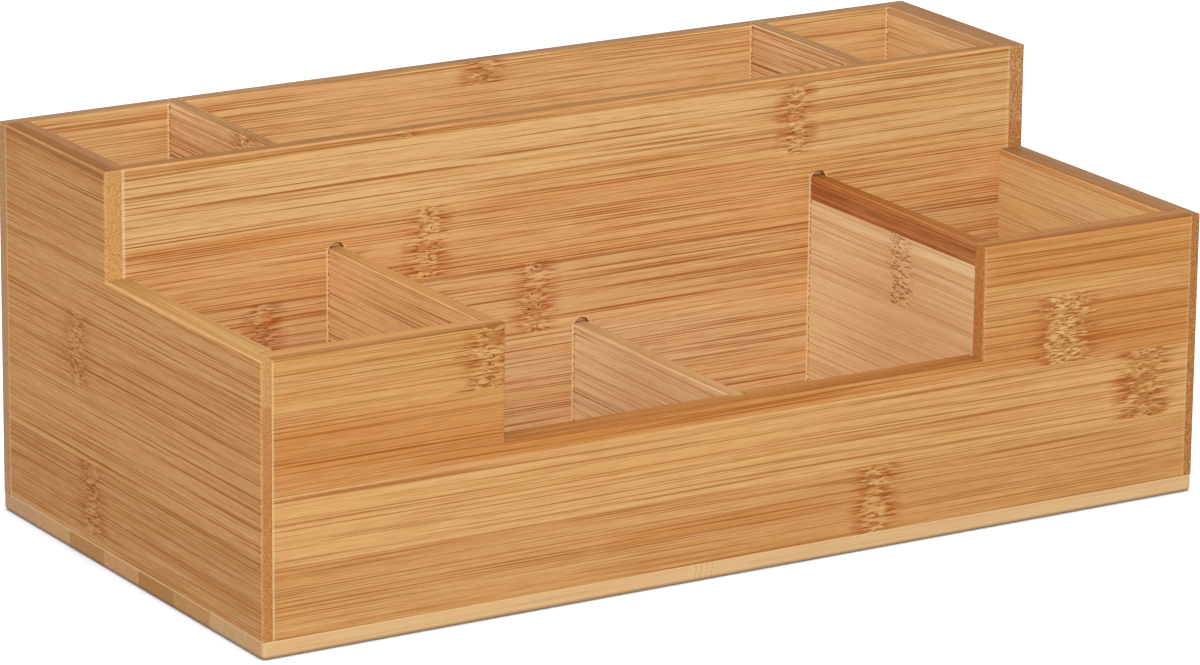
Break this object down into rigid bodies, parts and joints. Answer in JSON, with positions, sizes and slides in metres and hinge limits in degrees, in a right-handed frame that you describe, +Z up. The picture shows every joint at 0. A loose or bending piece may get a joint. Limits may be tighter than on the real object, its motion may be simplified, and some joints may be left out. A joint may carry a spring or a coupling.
{
  "type": "desk organizer",
  "caption": "Open-topped bamboo desk organizer: a tall rear row of bays, a lower front row behind stepped sides, and a front panel cut low in the middle.",
  "frame": {"origin": "centre of the footprint, on the underside of the base", "axes": "+X along the length to the right, +Y to the rear, +Z up"},
  "size_m": [0.36, 0.182, 0.1345],
  "materials": {
    "bamboo_board": "sanded bamboo board, clear satin lacquer",
    "bamboo_base": "edge-glued sanded bamboo strips, clear satin lacquer",
    "carbonised_bamboo": "carbonised bamboo strip, clear satin lacquer"
  },
  "bodies": {
    "root": {"back_panel": "bamboo_board", "base_strip_1": "bamboo_base", "base_strip_2": "bamboo_base", "base_strip_3": "bamboo_base", "base_strip_4": "bamboo_base", "base_strip_5": "bamboo_base", "base_strip_6": "bamboo_base", "base_strip_7": "bamboo_base", "base_strip_8": "bamboo_base", "front_divider_left": "bamboo_board", "front_divider_middle": "bamboo_board", "front_divider_right": "bamboo_board", "front_divider_right_cap": "carbonised_bamboo", "front_panel": "bamboo_board", "left_side": "bamboo_board", "middle_wall": "bamboo_board", "rear_divider_left": "bamboo_board", "rear_divider_right": "bamboo_board", "right_side": "bamboo_board"}
  },
  "joints": []
}
